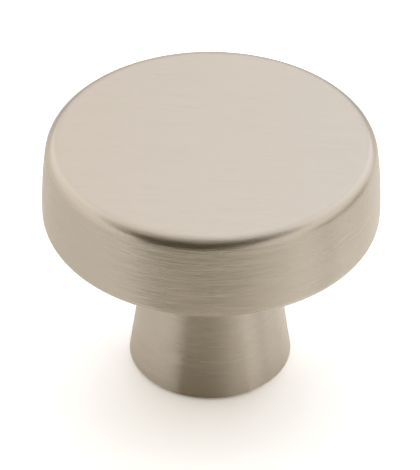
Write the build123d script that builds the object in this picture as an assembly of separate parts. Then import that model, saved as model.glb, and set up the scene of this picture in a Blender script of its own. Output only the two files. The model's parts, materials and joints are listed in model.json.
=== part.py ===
from build123d import *
from math import asin, degrees, radians, tan
import os

# Round cabinet knob, cast in one piece: a flat disc head on a tapered stem, tapped for a mounting screw.
# Millimetres. The origin is the centre of the base face, and +Z runs along the axis to the head.

# Head
head_diameter = 32.0  # at its widest, just above the lower edge
head_thickness = 8.7
lower_edge_radius = 1.2  # rounds the underside into the wall
wall_crown_radius = 46.0  # the wall draws in towards the top on this large arc
rim_radius = 1.4  # rounds the wall over into the flat top

# Stem
stem_height = 16.5  # from the base face to the underside of the head
foot_diameter = 15.8
neck_diameter = 11.2  # where the stem meets the head
foot_chamfer = 0.3
neck_fillet_radius = 0.8

# Tapped hole in the base, for a No. 8-32 screw. Its wall is plain, at the root of the thread.
thread_root_diameter = 4.2
thread_length = 12.7
pilot_diameter = 3.45  # the tap drill's hole, which runs on past the thread
pilot_run_out = 2.2
drill_point_angle = 118.0
countersink_diameter = 5.2
countersink_angle = 90.0


def cone_height(wide_radius, narrow_radius, full_angle):
    """Height of a cone with this full angle between two of its radii."""
    return (wide_radius - narrow_radius) / tan(radians(full_angle / 2))


def knob_section():
    """Half section of the solid knob, from its axis out to its surface."""
    foot_radius = foot_diameter / 2
    neck_radius = neck_diameter / 2
    underside_radius = head_diameter / 2 - lower_edge_radius
    knob_height = stem_height + head_thickness
    # The wall starts upright and turns inwards by this angle, where the rim's tighter arc takes over.
    wall_rise = head_thickness - lower_edge_radius - rim_radius
    wall_turn = degrees(asin(wall_rise / (wall_crown_radius - rim_radius)))

    with BuildSketch(Plane.XZ) as section:
        with BuildLine():
            stem = FilletPolyline(
                (0, 0),
                (foot_radius - foot_chamfer, 0),
                (foot_radius, foot_chamfer),
                (neck_radius, stem_height),
                (underside_radius, stem_height),
                radius=[0, 0, neck_fillet_radius],
            )
            lower_edge = JernArc(stem @ 1, stem % 1, lower_edge_radius, 90)
            wall = JernArc(lower_edge @ 1, lower_edge % 1, wall_crown_radius, wall_turn)
            rim = JernArc(wall @ 1, wall % 1, rim_radius, 90 - wall_turn)
            top = Line(rim @ 1, (0, knob_height))
            Line(top @ 1, stem @ 0)
        make_face()
    return section.sketch


def hole_section():
    """Half section of the tapped hole: countersunk mouth, threaded wall, pilot hole and drill point."""
    mouth_radius = countersink_diameter / 2
    thread_radius = thread_root_diameter / 2
    pilot_radius = pilot_diameter / 2
    thread_start = cone_height(mouth_radius, thread_radius, countersink_angle)
    thread_end = thread_start + thread_length
    pilot_end = thread_end + pilot_run_out
    point = pilot_end + cone_height(pilot_radius, 0, drill_point_angle)

    with BuildSketch(Plane.XZ) as section:
        with BuildLine():
            Polyline(
                (0, 0),
                (mouth_radius, 0),
                (thread_radius, thread_start),
                (thread_radius, thread_end),
                (pilot_radius, thread_end),
                (pilot_radius, pilot_end),
                (0, point),
                close=True,
            )
        make_face()
    return section.sketch


def make_knob():
    """The casting turned from its half section, with the tapped hole taken out of its base."""
    casting = revolve(knob_section(), axis=Axis.Z)
    hole = revolve(hole_section(), axis=Axis.Z)
    knob = casting - hole
    knob.label = "knob"
    return knob


os.makedirs("parts", exist_ok=True)
knob = make_knob()
export_step(knob, "parts/knob.step")
print(f"knob: {knob.volume:.1f} mm3, {knob.bounding_box().size}")
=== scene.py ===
# %% [markdown]
# A cabinet knob in brushed satin nickel
#
# The real knob is one piece of die-cast zinc: a flat disc head on a stem that widens towards its foot.
# It is plated with nickel and brushed, in straight lines across the top and round and round on the wall
# and stem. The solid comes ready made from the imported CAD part, at its real size and in metres, so
# nothing here moves or rescales it. What is left to do is what the eye sees: the finish, the thread in
# the screw hole, the light and the camera.

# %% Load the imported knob
import json
from math import cos, degrees, pi, radians, sin, tan

import bmesh
import bpy
from mathutils import Matrix, Vector


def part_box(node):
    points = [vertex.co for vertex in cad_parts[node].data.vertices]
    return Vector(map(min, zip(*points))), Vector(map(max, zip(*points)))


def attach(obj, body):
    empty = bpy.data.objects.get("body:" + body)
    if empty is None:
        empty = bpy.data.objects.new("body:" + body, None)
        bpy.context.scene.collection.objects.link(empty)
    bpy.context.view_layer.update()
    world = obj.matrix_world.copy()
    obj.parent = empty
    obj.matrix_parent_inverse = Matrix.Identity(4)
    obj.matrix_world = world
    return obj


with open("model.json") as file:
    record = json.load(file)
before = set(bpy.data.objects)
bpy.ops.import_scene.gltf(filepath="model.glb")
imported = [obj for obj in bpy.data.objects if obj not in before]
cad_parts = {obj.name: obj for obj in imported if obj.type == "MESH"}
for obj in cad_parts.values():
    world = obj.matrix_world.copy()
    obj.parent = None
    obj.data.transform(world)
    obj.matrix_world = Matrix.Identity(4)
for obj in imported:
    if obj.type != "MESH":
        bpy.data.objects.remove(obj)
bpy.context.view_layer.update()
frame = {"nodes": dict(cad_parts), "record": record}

MM = 0.001  # metres
knob = frame["nodes"]["knob"]
knob_low, knob_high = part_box("knob")
knob_width = knob_high.x - knob_low.x
knob_height = knob_high.z - knob_low.z
print(f"knob: {knob_height / MM:.1f} mm high, {knob_width / MM:.1f} mm across")

# %% [markdown]
# Three small helpers
#
# Colours are easiest to read off a picture as sRGB hex values, but Blender's shaders work in linear
# light, so one function turns the first into the second. Shaders are built from nodes, and another
# function adds a node with its settings and links. Some nodes have several sockets of one name, and
# switch on the ones that suit their settings: the Mix node has an A and a B for numbers, for vectors and
# for colours. So a third function finds the socket that is in use.

# %% Colour and node helpers
def linear(hex_colour):
    """An sRGB hex colour, such as "#D6CABE", as the linear RGBA that Blender's shaders take."""
    channels = [int(hex_colour[i:i + 2], 16) / 255 for i in (1, 3, 5)]
    return [c / 12.92 if c <= 0.04045 else ((c + 0.055) / 1.055) ** 2.4 for c in channels] + [1.0]


def in_use(sockets, name=None):
    """The first socket that the settings leave switched on, of all of them or of those with this name."""
    return next(socket for socket in sockets if socket.enabled and name in (None, socket.name))


def add_node(tree, kind, inputs=None, **settings):
    """Adds a node with its settings to a tree and returns it.

    inputs maps a socket's name or number to a value, or to what feeds it: an output, or a node, which feeds
    it by its first output in use.
    """
    node = tree.nodes.new(kind)
    for name, value in settings.items():
        setattr(node, name, value)
    for key, value in (inputs or {}).items():
        socket = node.inputs[key] if isinstance(key, int) else in_use(node.inputs, key)
        if isinstance(value, bpy.types.Node):
            tree.links.new(in_use(value.outputs), socket)
        elif isinstance(value, bpy.types.NodeSocket):
            tree.links.new(value, socket)
        else:
            socket.default_value = value
    return node


print("#D6CABE in linear light:", [round(c, 3) for c in linear("#D6CABE")])

# %% [markdown]
# The camera
#
# The picture was taken from about 38 degrees above, with a long lens a little over a quarter of a metre
# away, so the head's top and bottom circles look almost equally round. A Track To constraint could aim
# the camera, but one matrix also holds the roll: the knob leans by about half a degree in the picture.
# The aim is a point on the knob's axis, give or take a tenth of a millimetre. A lens length means
# nothing without a sensor: Blender's is 36 mm along the picture's longer side.

# %% Camera
CAMERA_ELEVATION = radians(37.96)
CAMERA_ROLL = radians(0.43)
CAMERA_DISTANCE = 270.57 * MM
AIM = Vector((-0.09 * MM, 0, 14.01 * MM))
FOCAL_PIXELS = 2832.9  # the lens length, in pixels of the picture
PICTURE_HEIGHT = 470  # pixels

camera_data = bpy.data.cameras.new("photo_camera")
camera_data.lens = FOCAL_PIXELS * camera_data.sensor_width / PICTURE_HEIGHT
camera = bpy.data.objects.new("photo_camera", camera_data)
bpy.context.scene.collection.objects.link(camera)

to_camera = Vector((0, -cos(CAMERA_ELEVATION), sin(CAMERA_ELEVATION)))
look = (-to_camera).to_track_quat("-Z", "Y").to_matrix().to_4x4()
roll = Matrix.Rotation(CAMERA_ROLL, 4, "Z")
camera.matrix_world = Matrix.Translation(AIM + to_camera * CAMERA_DISTANCE) @ look @ roll
bpy.context.scene.camera = camera
bpy.context.scene.view_settings.view_transform = "Standard"
print(f"lens {camera_data.lens:.1f} mm, camera {CAMERA_DISTANCE / MM:.0f} mm from the knob's axis")

# %% [markdown]
# The light tent
#
# Metal has almost no colour of its own to show: it shows what is around it. Photographers put small
# shiny things in a tent of white cloth, and the camera looks in through an opening at the front. That
# opening is the dark band on the knob's front rim, and the dim ground before it is the stripe down the
# stem. Lit planes round the knob could stand for the cloth, but their edges would be hard to place in a
# rim a few pixels wide. Here the world is the tent, and an edge is an angle. A world shader knows only a
# direction, so the direction is first turned into an azimuth, with 0 at the camera and 90 degrees at +X,
# and a height above the horizon.

# %% World directions
world = bpy.data.worlds.new("light_tent")
bpy.context.scene.world = world
world.use_nodes = True
sky = world.node_tree
sky.nodes.clear()

ray = add_node(sky, "ShaderNodeTexCoord")
way = add_node(sky, "ShaderNodeSeparateXYZ", {0: ray.outputs["Generated"]})
forward = add_node(sky, "ShaderNodeMath", {0: way.outputs["Y"], 1: -1.0}, operation="MULTIPLY")
azimuth = add_node(sky, "ShaderNodeMath", {0: way.outputs["X"], 1: forward}, operation="ARCTAN2")
height = add_node(sky, "ShaderNodeMath", {0: way.outputs["Z"]}, operation="ARCSINE")
print(f"{len(sky.nodes)} nodes turn a direction into azimuth and height")

# %% [markdown]
# The opening
#
# The front of the tent is open and dark, and the cloth comes in the further back a direction points:
# slowly on the left and in front, and quickly on the right. A gradient texture could do that with one
# rate for all, but the two ends of the dark band on the rim differ. So the ends of the ramp are mixed
# from a left and a right pair. They are given as the Y of a direction of length 1, which is -1 at the
# camera and 1 at the back.

# %% World opening
FRONT_FADE_LEFT = {"dark": -0.62, "cloth": 0.18}
FRONT_FADE_RIGHT = {"dark": -0.32, "cloth": -0.05}
FADE_SIDES = {"left": 0.2, "right": 0.65}  # the X of a direction, where each pair holds

fade_ends = {
    end: add_node(
        sky, "ShaderNodeMapRange",
        {
            "Value": way.outputs["X"],
            "From Min": FADE_SIDES["left"],
            "From Max": FADE_SIDES["right"],
            "To Min": FRONT_FADE_LEFT[end],
            "To Max": FRONT_FADE_RIGHT[end],
        },
    )
    for end in ("dark", "cloth")
}
cloth_share = add_node(
    sky, "ShaderNodeMapRange",
    {"Value": way.outputs["Y"], "From Min": fade_ends["dark"], "From Max": fade_ends["cloth"]},
    interpolation_type="SMOOTHSTEP",
)
print("cloth from opening to full, left:", FRONT_FADE_LEFT, "right:", FRONT_FADE_RIGHT)

# %% [markdown]
# White cards
#
# A white card on each side narrows the opening, as a photographer's reflectors do. Each card's inner
# edge stands upright up to some height, and from there it leans away from the middle, by so many degrees
# of azimuth for each degree of height. A card is a ramp from dark to light too, so it needs no shape of
# its own: where cloth and cards meet, the lightest of them wins.

# %% World cards
LEFT_CARD = {"upright": radians(14), "lean": 1.8, "dark": radians(-36), "card": radians(-54)}
RIGHT_CARD = {"upright": radians(6), "lean": -0.875, "dark": radians(-10), "card": radians(40)}
CARD_TOP = {"card": radians(38), "above": radians(48)}

under_top = add_node(
    sky, "ShaderNodeMapRange",
    {"Value": height, "From Min": CARD_TOP["above"], "From Max": CARD_TOP["card"]},
    interpolation_type="SMOOTHSTEP",
)
for card in (LEFT_CARD, RIGHT_CARD):
    higher = add_node(sky, "ShaderNodeMath", {0: height, 1: card["upright"]}, operation="SUBTRACT")
    rise = add_node(sky, "ShaderNodeMath", {0: higher, 1: 0.0}, operation="MAXIMUM")
    leaning = add_node(
        sky, "ShaderNodeMath", {0: rise, 1: card["lean"], 2: azimuth}, operation="MULTIPLY_ADD",
    )
    card_share = add_node(
        sky, "ShaderNodeMapRange",
        {"Value": leaning, "From Min": card["dark"], "From Max": card["card"], "To Max": under_top},
        interpolation_type="SMOOTHSTEP",
    )
    cloth_share = add_node(sky, "ShaderNodeMath", {0: cloth_share, 1: card_share}, operation="MAXIMUM")
print(f"cards from {degrees(LEFT_CARD['card']):.0f} and {degrees(RIGHT_CARD['card']):.0f} degrees outwards")

# %% [markdown]
# The cloth
#
# One white for all the cloth would do for a matte object, but the flat top of the knob mirrors the back
# of the tent and is its lightest part. So the cloth is brightest at the back and overhead, and a little
# dimmer and warmer towards the opening. On the left it is also a touch warmer than on the right.

# %% World cloth
LEFT_CLOTH = "#F8F5EF"
RIGHT_CLOTH = "#FFFFFF"
FRONT_CLOTH = "#E4DFD5"
MIDDLE_BLEND = 0.08  # the X of a direction, either side of the middle
RISE_SHARE = 0.5  # how much going up counts as going to the back
BACK_FADE = {"front": 0.45, "back": 1.05}

to_right = add_node(
    sky, "ShaderNodeMapRange",
    {"Value": way.outputs["X"], "From Min": -MIDDLE_BLEND, "From Max": MIDDLE_BLEND},
    interpolation_type="SMOOTHSTEP",
)
back_cloth = add_node(
    sky, "ShaderNodeMix", {"Factor": to_right, "A": linear(LEFT_CLOTH), "B": linear(RIGHT_CLOTH)},
    data_type="RGBA",
)
back_and_up = add_node(
    sky, "ShaderNodeMath", {0: way.outputs["Z"], 1: RISE_SHARE, 2: way.outputs["Y"]},
    operation="MULTIPLY_ADD",
)
to_back = add_node(
    sky, "ShaderNodeMapRange",
    {"Value": back_and_up, "From Min": BACK_FADE["front"], "From Max": BACK_FADE["back"]},
)
upper_cloth = add_node(
    sky, "ShaderNodeMix", {"Factor": to_back, "A": linear(FRONT_CLOTH), "B": back_cloth}, data_type="RGBA",
)
print(f"cloth from {FRONT_CLOTH} at the opening to {LEFT_CLOTH} and {RIGHT_CLOTH} at the back")

# %% [markdown]
# The hem of the cloth
#
# Near the ground the cloth is dimmer. At the back its hem is greyer and reaches higher, and the knob
# shows it as a thin grey line along the far edge of the top, where the rim turns away. The line could be
# painted on the rim, but then it would stay there from every side. A hem in the tent moves with the
# view, as on real metal.

# %% World hem
HEM = "#D6D0C5"
BACK_HEM = "#A5A29C"
HEM_TOP = {"side": radians(15), "back": radians(28)}
AT_BACK = {"side": 0.68, "back": 0.95}  # the Y of a direction
HORIZON = 0.0

at_back = add_node(
    sky, "ShaderNodeMapRange",
    {"Value": way.outputs["Y"], "From Min": AT_BACK["side"], "From Max": AT_BACK["back"]},
    interpolation_type="SMOOTHSTEP",
)
hem_top = add_node(
    sky, "ShaderNodeMix", {"Factor": at_back, "A": HEM_TOP["side"], "B": HEM_TOP["back"]},
    data_type="FLOAT",
)
hem_tone = add_node(
    sky, "ShaderNodeMix", {"Factor": at_back, "A": linear(HEM), "B": linear(BACK_HEM)}, data_type="RGBA",
)
hem_share = add_node(
    sky, "ShaderNodeMapRange", {"Value": height, "From Min": hem_top, "From Max": HORIZON},
    interpolation_type="SMOOTHSTEP",
)
cloth = add_node(
    sky, "ShaderNodeMix", {"Factor": hem_share, "A": upper_cloth, "B": hem_tone}, data_type="RGBA",
)
print(f"hem up to {degrees(HEM_TOP['side']):.0f} degrees, and {degrees(HEM_TOP['back']):.0f} at the back")

# %% [markdown]
# The gap on the right
#
# On the right the cloth stops short of the ground, and the gap draws the thin dark line between the wall
# and the rim on that side. Three ramps bound it: where it starts, where it ends and how high it is. With
# the gap in place the cloth is done, and it takes its share against the dark of the opening.

# %% World gap
GAP = "#7F7564"
GAP_START = {"cloth": radians(54), "gap": radians(72)}
GAP_END = {"cloth": radians(124), "gap": radians(108)}
GAP_TOP = {"cloth": radians(10), "gap": radians(6)}
OPENING = "#443D2B"

after_start, before_end, under_cloth = [
    add_node(
        sky, "ShaderNodeMapRange", {"Value": angle, "From Min": edge["cloth"], "From Max": edge["gap"]},
    )
    for angle, edge in ((azimuth, GAP_START), (azimuth, GAP_END), (height, GAP_TOP))
]
along_gap = add_node(sky, "ShaderNodeMath", {0: after_start, 1: before_end}, operation="MINIMUM")
gap_share = add_node(sky, "ShaderNodeMath", {0: along_gap, 1: under_cloth}, operation="MULTIPLY")
walls = add_node(
    sky, "ShaderNodeMix", {"Factor": gap_share, "A": cloth, "B": linear(GAP)}, data_type="RGBA",
)
tent = add_node(
    sky, "ShaderNodeMix", {"Factor": cloth_share, "A": linear(OPENING), "B": walls}, data_type="RGBA",
)
print(f"gap from {degrees(GAP_START['gap']):.0f} to {degrees(GAP_END['gap']):.0f} degrees of azimuth")

# %% [markdown]
# The ground, as the metal sees it
#
# In the picture the light and dark edges on the wall and stem run straight down them. A large sheet
# under the knob would bend them, because they run straight only for things far away. So the tent's
# ground is part of the world, below the horizon. It is light on the left and right, a little dimmer at
# the far left, and far out it takes the tone of the hem.

# %% World ground
GROUND_LEFT = "#E6E1D5"
GROUND_FAR_LEFT = "#D3CEC2"
GROUND_RIGHT = "#FFFCF2"
FAR_LEFT = {"near": radians(-64), "far": radians(-98)}
FAR_OUT = {"near": radians(-38), "far": radians(-10)}

far_left = add_node(
    sky, "ShaderNodeMapRange",
    {"Value": azimuth, "From Min": FAR_LEFT["near"], "From Max": FAR_LEFT["far"]},
    interpolation_type="SMOOTHSTEP",
)
left_ground = add_node(
    sky, "ShaderNodeMix", {"Factor": far_left, "A": linear(GROUND_LEFT), "B": linear(GROUND_FAR_LEFT)},
    data_type="RGBA",
)
near_ground = add_node(
    sky, "ShaderNodeMix", {"Factor": to_right, "A": left_ground, "B": linear(GROUND_RIGHT)},
    data_type="RGBA",
)
far_out = add_node(
    sky, "ShaderNodeMapRange", {"Value": height, "From Min": FAR_OUT["near"], "From Max": FAR_OUT["far"]},
)
light_ground = add_node(
    sky, "ShaderNodeMix", {"Factor": far_out, "A": near_ground, "B": linear(HEM)}, data_type="RGBA",
)
print(f"ground {GROUND_LEFT} on the left and {GROUND_RIGHT} on the right")

# %% [markdown]
# Dim ground and a seam
#
# Before the opening the ground is dim. The dim part ends sharply on the left. On the right it turns a
# step lighter at one edge and then slowly as light as the rest. Each edge is a ramp up to its own share
# of the light ground, and the largest share wins. Further right, a seam between two sheets shows as a
# soft darker strip.

# %% World dim ground
GROUND_FRONT = "#CFC8B7"
DIM_LEFT = {"dim": radians(-39), "light": radians(-42), "share": 1.0}
DIM_RIGHT = {"dim": radians(36), "light": radians(78), "share": 1.0}
DIM_STEP = {"dim": radians(26), "light": radians(31), "share": 0.2}
SEAM = "#B8B4A9"
SEAM_AZIMUTH = radians(82)
SEAM_HALF = {"seam": radians(2), "sheet": radians(5)}

left_share, right_share, step_share = [
    add_node(
        sky, "ShaderNodeMapRange",
        {"Value": azimuth, "From Min": edge["dim"], "From Max": edge["light"], "To Max": edge["share"]},
        interpolation_type="SMOOTHSTEP",
    )
    for edge in (DIM_LEFT, DIM_RIGHT, DIM_STEP)
]
side_share = add_node(sky, "ShaderNodeMath", {0: left_share, 1: right_share}, operation="MAXIMUM")
light_share = add_node(sky, "ShaderNodeMath", {0: side_share, 1: step_share}, operation="MAXIMUM")
sheets = add_node(
    sky, "ShaderNodeMix", {"Factor": light_share, "A": linear(GROUND_FRONT), "B": light_ground},
    data_type="RGBA",
)
from_seam = add_node(sky, "ShaderNodeMath", {0: azimuth, 1: SEAM_AZIMUTH}, operation="SUBTRACT")
seam_distance = add_node(sky, "ShaderNodeMath", {0: from_seam}, operation="ABSOLUTE")
off_seam = add_node(
    sky, "ShaderNodeMapRange",
    {"Value": seam_distance, "From Min": SEAM_HALF["seam"], "From Max": SEAM_HALF["sheet"]},
    interpolation_type="SMOOTHSTEP",
)
ground = add_node(
    sky, "ShaderNodeMix", {"Factor": off_seam, "A": linear(SEAM), "B": sheets}, data_type="RGBA",
)
print(f"dim ground from {degrees(DIM_LEFT['dim']):.0f} to {degrees(DIM_RIGHT['dim']):.0f} degrees")

# %% [markdown]
# Tent and ground together
#
# Tent and ground meet just below the horizon, and one Background shader gives them their light. It is
# the only light here. Lamps would add round highlights of their own, and the picture shows none. The
# strength is set so that the nickel renders about as light as its colour is written.

# %% World light
GROUND_TOP = radians(-12)
TENT_STRENGTH = 1.17

below = add_node(
    sky, "ShaderNodeMapRange", {"Value": height, "From Min": HORIZON, "From Max": GROUND_TOP},
)
around = add_node(sky, "ShaderNodeMix", {"Factor": below, "A": tent, "B": ground}, data_type="RGBA")
light = add_node(sky, "ShaderNodeBackground", {"Color": around, "Strength": TENT_STRENGTH})
add_node(sky, "ShaderNodeOutputWorld", {"Surface": light})
print(f"light tent made of {len(sky.nodes)} nodes")

# %% [markdown]
# The paper on the floor
#
# The knob stands on a sheet of white paper. Paper is matte, so a plain diffuse surface does, and it
# catches the knob's soft shadow. Before the opening the paper's colour is painted a little darker, a
# painted shade for the light that the opening does not give it, between straight edges on the left and
# right, and the stem mirrors that painted shade as a stripe with crisp edges. Past the right edge the
# painted shade is partly dim as far as a third edge. Each edge is a line on the paper, given by the way
# in to its dim side and the distance from the axis.

# %% Paper tone
PAPER = "#FAF6EB"
# painted shade: the paper before the opening gets a darker colour, for the light the opening does not give
FRONT_PAINTED_SHADE_PAPER = "#E4DED0"
LEFT_EDGE = {"inward": radians(-42), "paper": 2.3 * MM, "dim": 2.9 * MM}
RIGHT_EDGE = {"inward": radians(-145), "paper": 2.0 * MM, "dim": 2.5 * MM}
OUTER_RIGHT_EDGE = {"inward": radians(-125), "paper": 3.3 * MM, "dim": 3.6 * MM}
PARTLY_DIM = 0.75

paper = bpy.data.materials.new("matte_white_paper")
paper.use_nodes = True
sheet = paper.node_tree
sheet.nodes.clear()
spot = add_node(sheet, "ShaderNodeTexCoord")

dim_shares = []
for edge in (LEFT_EDGE, RIGHT_EDGE, OUTER_RIGHT_EDGE):
    inward = Vector((cos(edge["inward"]), sin(edge["inward"]), 0))
    past_edge = add_node(
        sheet, "ShaderNodeVectorMath", {0: spot.outputs["Object"], 1: inward}, operation="DOT_PRODUCT",
    )
    dim_shares.append(add_node(
        sheet, "ShaderNodeMapRange",
        {"Value": past_edge, "From Min": edge["paper"], "From Max": edge["dim"]},
        interpolation_type="SMOOTHSTEP",
    ))
# the edges bound the region where the painted shade lies
left_dim, right_dim, outer_dim = dim_shares
partly_dim = add_node(sheet, "ShaderNodeMath", {0: outer_dim, 1: PARTLY_DIM}, operation="MULTIPLY")
to_the_right = add_node(sheet, "ShaderNodeMath", {0: right_dim, 1: partly_dim}, operation="MAXIMUM")
painted_shade_front = add_node(sheet, "ShaderNodeMath", {0: left_dim, 1: to_the_right}, operation="MULTIPLY")
# the paper's own white, with its painted shade before the opening
paper_with_painted_shade = add_node(
    sheet, "ShaderNodeMix", {"Factor": painted_shade_front, "A": linear(PAPER), "B": linear(FRONT_PAINTED_SHADE_PAPER)},
    data_type="RGBA",
)
print(f"paper {PAPER}, and {FRONT_PAINTED_SHADE_PAPER} before the opening")

# %% [markdown]
# What each ray sees of the paper
#
# Light Path tells what kind of ray meets the paper. The camera sees it white, which takes a tone above
# 1, since the tent lights it less than fully. Rays that the metal mirrors see it only close to the foot,
# and further out it lets them through to the ground of the world. Shadow rays pass in the same places,
# so that the ground can light what it is mirrored in. A smaller sheet would do this with an edge, and
# here the change is gradual.

# %% Paper and rays
WHITE = (2.0, 2.07, 2.22, 1)  # a little blue, to even out the warm light of the tent
FOOT_SHADE_CENTRE = (-2 * MM, 0, 0)
FOOT_EDGE = 7 * MM
SIDE_REACH = 16 * MM
FRONT_REACH = 34 * MM

path = add_node(sheet, "ShaderNodeLightPath")
seen_tone = add_node(
    sheet, "ShaderNodeMix", {"Factor": path.outputs["Is Camera Ray"], "A": paper_with_painted_shade, "B": WHITE},
    data_type="RGBA",
)
matte = add_node(sheet, "ShaderNodeBsdfDiffuse", {"Color": seen_tone})
off_centre = add_node(
    sheet, "ShaderNodeVectorMath", {0: spot.outputs["Object"], 1: FOOT_SHADE_CENTRE}, operation="SUBTRACT",
)
from_foot = add_node(sheet, "ShaderNodeVectorMath", {0: off_centre}, operation="LENGTH")
reach = add_node(
    sheet, "ShaderNodeMix", {"Factor": painted_shade_front, "A": SIDE_REACH, "B": FRONT_REACH}, data_type="FLOAT",
)
see_through = add_node(
    sheet, "ShaderNodeMapRange", {"Value": from_foot, "From Min": FOOT_EDGE, "From Max": reach},
)
mirrored = add_node(
    sheet, "ShaderNodeMath", {0: path.outputs["Is Glossy Ray"], 1: path.outputs["Is Transmission Ray"]},
    operation="MAXIMUM",
)
let_by = add_node(
    sheet, "ShaderNodeMath", {0: mirrored, 1: path.outputs["Is Shadow Ray"]}, operation="MAXIMUM",
)
clear_share = add_node(sheet, "ShaderNodeMath", {0: see_through, 1: let_by}, operation="MULTIPLY")
clear = add_node(sheet, "ShaderNodeBsdfTransparent")
surface = add_node(sheet, "ShaderNodeMixShader", {0: clear_share, 1: matte, 2: clear})
add_node(sheet, "ShaderNodeOutputMaterial", {"Surface": surface})
print(f"paper mirrored for {FRONT_REACH / MM:.0f} mm in front and {SIDE_REACH / MM:.0f} mm elsewhere")

# %% [markdown]
# The floor itself
#
# The sheet is one flat square, so large that no edge of it comes into the picture. A backdrop that
# curves up could follow it, but the camera looks down and sees only the floor.

# %% Floor
FLOOR_SIZE = 3.0  # metres

half = FLOOR_SIZE / 2
corners = [(-half, -half, 0), (half, -half, 0), (half, half, 0), (-half, half, 0)]
floor_mesh = bpy.data.meshes.new("floor")
floor_mesh.from_pydata(corners, [], [(0, 1, 2, 3)])
floor_mesh.materials.append(paper)
floor = bpy.data.objects.new("floor", floor_mesh)
bpy.context.scene.collection.objects.link(floor)
print(f"floor {FLOOR_SIZE:.0f} m square")

# %% [markdown]
# Corners of the casting
#
# The CAD solid arrives as flat triangles, with the vertices doubled along each seam between two faces.
# Shaded smooth, it needs to know which edges are true corners: those of the foot and of the screw hole.
# The angle between two faces tells, but it can be measured only where the faces share an edge. So a copy
# of the mesh is welded, the corners are found on it, and the same edges are marked on the knob by the
# places of their ends.

# %% Sharp corners
SHARP_ANGLE = radians(30)
WELD_DISTANCE = 0.001 * MM

mesh = knob.data
if "custom_normal" in mesh.attributes:
    mesh.attributes.remove(mesh.attributes["custom_normal"])
mesh.shade_smooth()


def edge_key(points):
    """The two ends of an edge, rounded, so that edges from two meshes can be matched."""
    return tuple(sorted(tuple(round(c / WELD_DISTANCE) for c in p) for p in points))


welded = bmesh.new()
welded.from_mesh(mesh)
bmesh.ops.remove_doubles(welded, verts=welded.verts, dist=WELD_DISTANCE)
sharp_edges = {
    edge_key([v.co for v in edge.verts])
    for edge in welded.edges
    if len(edge.link_faces) == 2 and edge.calc_face_angle() > SHARP_ANGLE
}
welded.free()
for edge in mesh.edges:
    edge.use_edge_sharp = edge_key([mesh.vertices[v].co for v in edge.vertices]) in sharp_edges
print(f"{len(sharp_edges)} sharp edges on {len(mesh.edges)} edges")

# %% [markdown]
# Smooth shading
#
# The Weld modifier joins the doubled vertices for the render, and Weighted Normal lets the large faces
# decide which way the surface points. So the flat top stays flat and the rounded rim turns smoothly away
# from it. Plain smooth shading would average them, and the top would look slightly domed at its edge.

# %% Normals
LARGEST_FACES_WIN = 100  # the modifier's weight, where 50 is even

weld = knob.modifiers.new("weld_seams", "WELD")
weld.merge_threshold = WELD_DISTANCE
weigh = knob.modifiers.new("weigh_normals", "WEIGHTED_NORMAL")
weigh.mode = "FACE_AREA"
weigh.weight = LARGEST_FACES_WIN
weigh.keep_sharp = True
print("modifiers on the knob:", [modifier.name for modifier in knob.modifiers])

# %% [markdown]
# Brushed satin nickel
#
# The casting is plated with nickel and then brushed: the top on a flat belt, which leaves straight lines
# from side to side, and the wall and stem on a wheel while the knob turns, which leaves lines round and
# round. The lines are fine grooves a few hundredths of a millimetre apart. They blur a reflection across
# themselves but not along themselves, which gives the eye a silky shine, and the Principled shader calls
# that anisotropic. It has to know which way the grooves run at each point. A UV map could tell it, and
# here a formula does, because the knob is round: the axis crossed with the place, and on the top one
# straight direction.

# %% Which way the grooves run
TOP_BRUSH_ANGLE = radians(-6)
TOP_FACING = {"rim": 0.85, "top": 0.99}  # the Z of the surface's normal

nickel = bpy.data.materials.new("brushed_satin_nickel")
nickel.use_nodes = True
metal = nickel.node_tree
metal.nodes.clear()

place = add_node(metal, "ShaderNodeTexCoord")
facing = add_node(metal, "ShaderNodeSeparateXYZ", {0: place.outputs["Normal"]})
on_top = add_node(
    metal, "ShaderNodeMapRange",
    {"Value": facing.outputs["Z"], "From Min": TOP_FACING["rim"], "From Max": TOP_FACING["top"]},
    interpolation_type="SMOOTHSTEP",
)
knob_axis = (0, 0, 1)
top_groove = (cos(TOP_BRUSH_ANGLE), sin(TOP_BRUSH_ANGLE), 0)
round_axis = add_node(
    metal, "ShaderNodeVectorMath", {0: knob_axis, 1: place.outputs["Object"]}, operation="CROSS_PRODUCT",
)
round_groove = add_node(metal, "ShaderNodeVectorMath", {0: round_axis}, operation="NORMALIZE")
groove = add_node(
    metal, "ShaderNodeMix", {"Factor": on_top, "A": round_groove, "B": top_groove}, data_type="VECTOR",
)
print(f"straight grooves on the top, {-degrees(TOP_BRUSH_ANGLE):.0f} degrees off the picture's width")

# %% [markdown]
# Brush lines round the knob
#
# The brush lines are noise, stretched along the grooves. An image could hold them, but it would have to
# be unwrapped, and noise needs only a place. Across the grooves, the place is the height less the
# distance from the axis, which keeps changing all the way over the rim. Along them, it is the direction
# from the axis, so that a line spans the same angle everywhere on the head, and more of an angle on the
# stem. Real lines are finer than a pixel of the picture. They are drawn about ten times too coarse, as
# wide as the streaks that show there, with finer octaves of the noise inside them.

# %% Round lines
REAL_LINE_WIDTH = 0.032 * MM
DRAWN_COARSER = 10
LINE_WIDTH = REAL_LINE_WIDTH * DRAWN_COARSER
LINE_LENGTH = 4.5 * MM
LINE_STRETCH = LINE_LENGTH / LINE_WIDTH
LINE_OCTAVES = 3.0
LINE_ROUGHNESS = 0.85
STEM_LIMIT = 9 * MM
STEM_TURN = 4 * MM  # less than the stem's radius, which draws its lines out to about 8 mm

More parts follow.
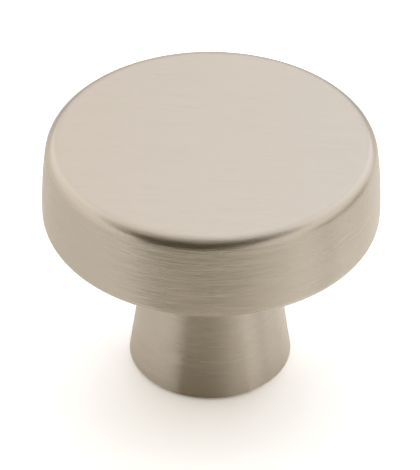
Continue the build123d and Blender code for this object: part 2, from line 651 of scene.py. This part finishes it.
wall_radius = knob_width / 2
point = add_node(metal, "ShaderNodeSeparateXYZ", {0: place.outputs["Object"]})
sideways = add_node(metal, "ShaderNodeCombineXYZ", {"X": point.outputs["X"], "Y": point.outputs["Y"]})
radius = add_node(metal, "ShaderNodeVectorMath", {0: sideways}, operation="LENGTH")
over_rim = add_node(metal, "ShaderNodeMath", {0: point.outputs["Z"], 1: radius}, operation="SUBTRACT")
across = add_node(metal, "ShaderNodeMath", {0: over_rim, 1: LINE_STRETCH}, operation="MULTIPLY")
upward = add_node(metal, "ShaderNodeCombineXYZ", {"Z": across})
on_stem = add_node(metal, "ShaderNodeMath", {0: radius, 1: STEM_LIMIT}, operation="LESS_THAN")
turn_radius = add_node(
    metal, "ShaderNodeMix", {"Factor": on_stem, "A": wall_radius, "B": STEM_TURN}, data_type="FLOAT",
)
turned = add_node(metal, "ShaderNodeVectorMath", {0: sideways}, operation="NORMALIZE")
along = add_node(metal, "ShaderNodeVectorMath", {0: turned, "Scale": turn_radius}, operation="SCALE")
round_place = add_node(metal, "ShaderNodeVectorMath", {0: along, 1: upward}, operation="ADD")
line_noise = {"Scale": 1 / LINE_LENGTH, "Detail": LINE_OCTAVES, "Roughness": LINE_ROUGHNESS}
round_lines = add_node(metal, "ShaderNodeTexNoise", {"Vector": round_place, **line_noise})
print(f"brush lines {LINE_WIDTH / MM:.2f} mm wide and about {LINE_LENGTH / MM:.1f} mm long")

# %% [markdown]
# Straight lines on the top
#
# On the top the same noise is stretched the same way, but along the belt's direction and to longer
# lines. The Mapping node turns and scales the place at once. Then the top takes the straight lines and
# the rest the round ones.

# %% Straight lines
TOP_LINE_LENGTH = 8 * MM

straight_place = add_node(
    metal, "ShaderNodeMapping",
    {
        "Vector": sideways,
        "Rotation": (0, 0, TOP_BRUSH_ANGLE),
        "Scale": (TOP_LINE_LENGTH / LINE_LENGTH, 1 / LINE_STRETCH, 1),
    },
    vector_type="TEXTURE",
)
straight_lines = add_node(metal, "ShaderNodeTexNoise", {"Vector": straight_place, **line_noise})
lines = add_node(
    metal, "ShaderNodeMix", {"Factor": on_top, "A": round_lines, "B": straight_lines}, data_type="FLOAT",
)
print(f"straight lines about {TOP_LINE_LENGTH / MM:.0f} mm long on the top")

# %% [markdown]
# Streaks
#
# The same lines then drive everything that a groove changes: mostly the slope of the surface, and
# slightly its tone and its roughness. Noise of its own for each could be used, but on real metal the
# three go together. The streaks are plain to see on the wall and stem, and faint on the rim and top,
# which come out smoother.

# %% Streaks
WALL_STREAKS = 2.0
STEM_STREAKS = 1.8
RIM_STREAKS = 0.6
TOP_STREAKS = 0.75
RIM_FACING = {"wall": 0.16, "rim": 0.45}  # the Z of the surface's normal
NOISE_MIDDLE = 0.5

on_rim = add_node(
    metal, "ShaderNodeMapRange",
    {"Value": facing.outputs["Z"], "From Min": RIM_FACING["wall"], "From Max": RIM_FACING["rim"]},
    interpolation_type="SMOOTHSTEP",
)
side_depth = add_node(
    metal, "ShaderNodeMix", {"Factor": on_stem, "A": WALL_STREAKS, "B": STEM_STREAKS}, data_type="FLOAT",
)
round_depth = add_node(
    metal, "ShaderNodeMix", {"Factor": on_rim, "A": side_depth, "B": RIM_STREAKS}, data_type="FLOAT",
)
streak_depth = add_node(
    metal, "ShaderNodeMix", {"Factor": on_top, "A": round_depth, "B": TOP_STREAKS}, data_type="FLOAT",
)
uneven = add_node(metal, "ShaderNodeMath", {0: lines, 1: NOISE_MIDDLE}, operation="SUBTRACT")
streaks = add_node(metal, "ShaderNodeMath", {0: uneven, 1: streak_depth}, operation="MULTIPLY")
print(f"streaks {WALL_STREAKS} on the wall, {STEM_STREAKS} on the stem, {TOP_STREAKS} on the top")

# %% [markdown]
# Bare zinc in the screw hole
#
# The tap cut the plate away inside the screw hole, and the bare zinc there is a colder, duller grey. A
# second material would need faces of its own, but the hole is easy to tell by its place: near the axis,
# and not as high as the top.

# %% Inside the hole
HOLE_RADIUS = 2.65 * MM  # just outside the countersunk mouth
HOLE_DEPTH = 17 * MM  # just past the drill's point

near_axis = add_node(metal, "ShaderNodeMath", {0: radius, 1: HOLE_RADIUS}, operation="LESS_THAN")
below_top = add_node(metal, "ShaderNodeMath", {0: point.outputs["Z"], 1: HOLE_DEPTH}, operation="LESS_THAN")
in_hole = add_node(metal, "ShaderNodeMath", {0: near_axis, 1: below_top}, operation="MULTIPLY")
print(f"bare zinc within {HOLE_RADIUS / MM:.2f} mm of the axis, up to {HOLE_DEPTH / MM:.0f} mm")

# %% [markdown]
# Roughness and tone
#
# A satin finish is neither a mirror nor dull: its roughness lies between about 0.2 and 0.35. The wall
# and stem, with the deepest streaks, are the roughest, and the rim is the smoothest. Nickel is a warm
# grey metal, a little yellower than steel, and it looks duller at the bottom of a groove than on the
# ridge beside it.

# %% Roughness and tone
WALL_ROUGHNESS = 0.345
RIM_ROUGHNESS = 0.2
TOP_ROUGHNESS = 0.245
ROUGHNESS_CONTRAST = 0.2
ZINC_ROUGHNESS = 0.45
BRIGHT_NICKEL = "#DDD4CB"
DULL_NICKEL = "#D1C8BF"
MIDDLE_TONE = 0.5
BARE_ZINC = "#A3A6A9"

side_finish = add_node(
    metal, "ShaderNodeMix", {"Factor": on_rim, "A": WALL_ROUGHNESS, "B": RIM_ROUGHNESS}, data_type="FLOAT",
)
finish = add_node(
    metal, "ShaderNodeMix", {"Factor": on_top, "A": side_finish, "B": TOP_ROUGHNESS}, data_type="FLOAT",
)
brushed = add_node(
    metal, "ShaderNodeMath", {0: streaks, 1: ROUGHNESS_CONTRAST, 2: finish}, operation="MULTIPLY_ADD",
)
roughness = add_node(
    metal, "ShaderNodeMix", {"Factor": in_hole, "A": brushed, "B": ZINC_ROUGHNESS}, data_type="FLOAT",
)
brightness = add_node(metal, "ShaderNodeMath", {0: streaks, 1: MIDDLE_TONE}, operation="ADD")
plate_tone = add_node(
    metal, "ShaderNodeMix", {"Factor": brightness, "A": linear(DULL_NICKEL), "B": linear(BRIGHT_NICKEL)},
    data_type="RGBA",
)
tone = add_node(
    metal, "ShaderNodeMix", {"Factor": in_hole, "A": plate_tone, "B": linear(BARE_ZINC)}, data_type="RGBA",
)
print(f"roughness {WALL_ROUGHNESS} on the wall, {RIM_ROUGHNESS} on the rim, {TOP_ROUGHNESS} on the top")

# %% [markdown]
# The nickel's shader
#
# A Bump node turns the streaks into slopes. Real grooves could be cut into the mesh, but they would take
# millions of faces. Cycles draws a highlight out along the tangent, while grooves draw it out across
# themselves, so the tangent is the groove's direction and the shader turns it by a quarter.

# %% Nickel
GROOVE_DEPTH = 0.035 * MM  # too deep, in step with the lines' width
METAL = 1.0
FULLY_BRUSHED = 1.0
QUARTER_TURN = 0.25

grooves = add_node(metal, "ShaderNodeBump", {"Height": streaks, "Distance": GROOVE_DEPTH})
plate = add_node(
    metal, "ShaderNodeBsdfPrincipled",
    {
        "Base Color": tone,
        "Metallic": METAL,
        "Roughness": roughness,
        "Anisotropic": FULLY_BRUSHED,
        "Anisotropic Rotation": QUARTER_TURN,
        "Tangent": groove,
        "Normal": grooves,
    },
)
add_node(metal, "ShaderNodeOutputMaterial", {"Surface": plate})
knob.data.materials[0] = nickel
print(f"nickel made of {len(metal.nodes)} nodes")

# %% [markdown]
# The screw thread
#
# The knob is held by a machine screw from behind the door, so the hole in its base is tapped. The
# solid's hole is plain, at the root of the thread. What the tap left standing is one ridge, wound up the
# hole like a spring. A Screw modifier could wind it, but the ridge has to start thin at the countersunk
# mouth, so a loop places its section step by step instead. The section's back is sunk a little into the
# wall, to leave no slit. At the deep end the ridge runs on into the shoulder, where the pilot hole
# begins.

# %% Thread sizes
INCH = 25.4 * MM
THREADS_PER_INCH = 32
PITCH = INCH / THREADS_PER_INCH
FLANK_ANGLE = radians(30)
CREST_FLAT = PITCH / 4
CREST_RADIUS = 1.73 * MM
SUNK_BACK = 0.06 * MM
MOUTH_DEPTH = 0.5 * MM
SHOULDER_OVERLAP = 0.3 * MM

screw_hole = next(mount for mount in frame["record"]["mounts"] if mount["name"] == "screw_hole")
root_radius = screw_hole["dims"]["r_mm"] * MM
thread_length = screw_hole["dims"]["length_mm"] * MM
back_radius = root_radius + SUNK_BACK
thread_start = MOUTH_DEPTH + PITCH / 2
thread_end = MOUTH_DEPTH + thread_length + SHOULDER_OVERLAP
print(f"thread of {(thread_end - thread_start) / PITCH:.1f} turns at a pitch of {PITCH / MM:.3f} mm")

# %% [markdown]
# Winding the ridge
#
# Each section has four corners: two on the crest and two in the wall behind it. Over the first part of a
# turn the crest grows out of the wall. Neighbouring sections are joined by four faces, and the two ends
# are closed.

# %% Thread
STEPS_PER_TURN = 48
TAPER_TURNS = 0.75

step_count = round((thread_end - thread_start) / PITCH * STEPS_PER_TURN)
ridge = bmesh.new()
sections = []
for step in range(step_count + 1):
    turns = step / STEPS_PER_TURN
    angle = 2 * pi * turns
    grown = min(1.0, turns / TAPER_TURNS)
    crest = root_radius + (CREST_RADIUS - root_radius) * grown
    crest_half = CREST_FLAT / 2 * grown
    back_half = crest_half + (back_radius - crest) * tan(FLANK_ANGLE)
    middle = thread_start + PITCH * turns
    outline = [
        (back_radius, -back_half),
        (crest, -crest_half),
        (crest, crest_half),
        (back_radius, back_half),
    ]
    sections.append([ridge.verts.new((r * cos(angle), r * sin(angle), middle + z)) for r, z in outline])
for lower, upper in zip(sections, sections[1:]):
    for a, b in ((0, 1), (1, 2), (2, 3), (3, 0)):
        ridge.faces.new((lower[a], upper[a], upper[b], lower[b]))
ridge.faces.new(sections[0])
ridge.faces.new(reversed(sections[-1]))
bmesh.ops.recalc_face_normals(ridge, faces=ridge.faces)

thread_mesh = bpy.data.meshes.new("screw_thread")
ridge.to_mesh(thread_mesh)
ridge.free()
thread_mesh.materials.append(nickel)
thread = bpy.data.objects.new("screw_thread", thread_mesh)
bpy.context.scene.collection.objects.link(thread)
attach(thread, "root")
print(f"ridge of {len(sections)} sections and {len(thread_mesh.polygons)} faces")
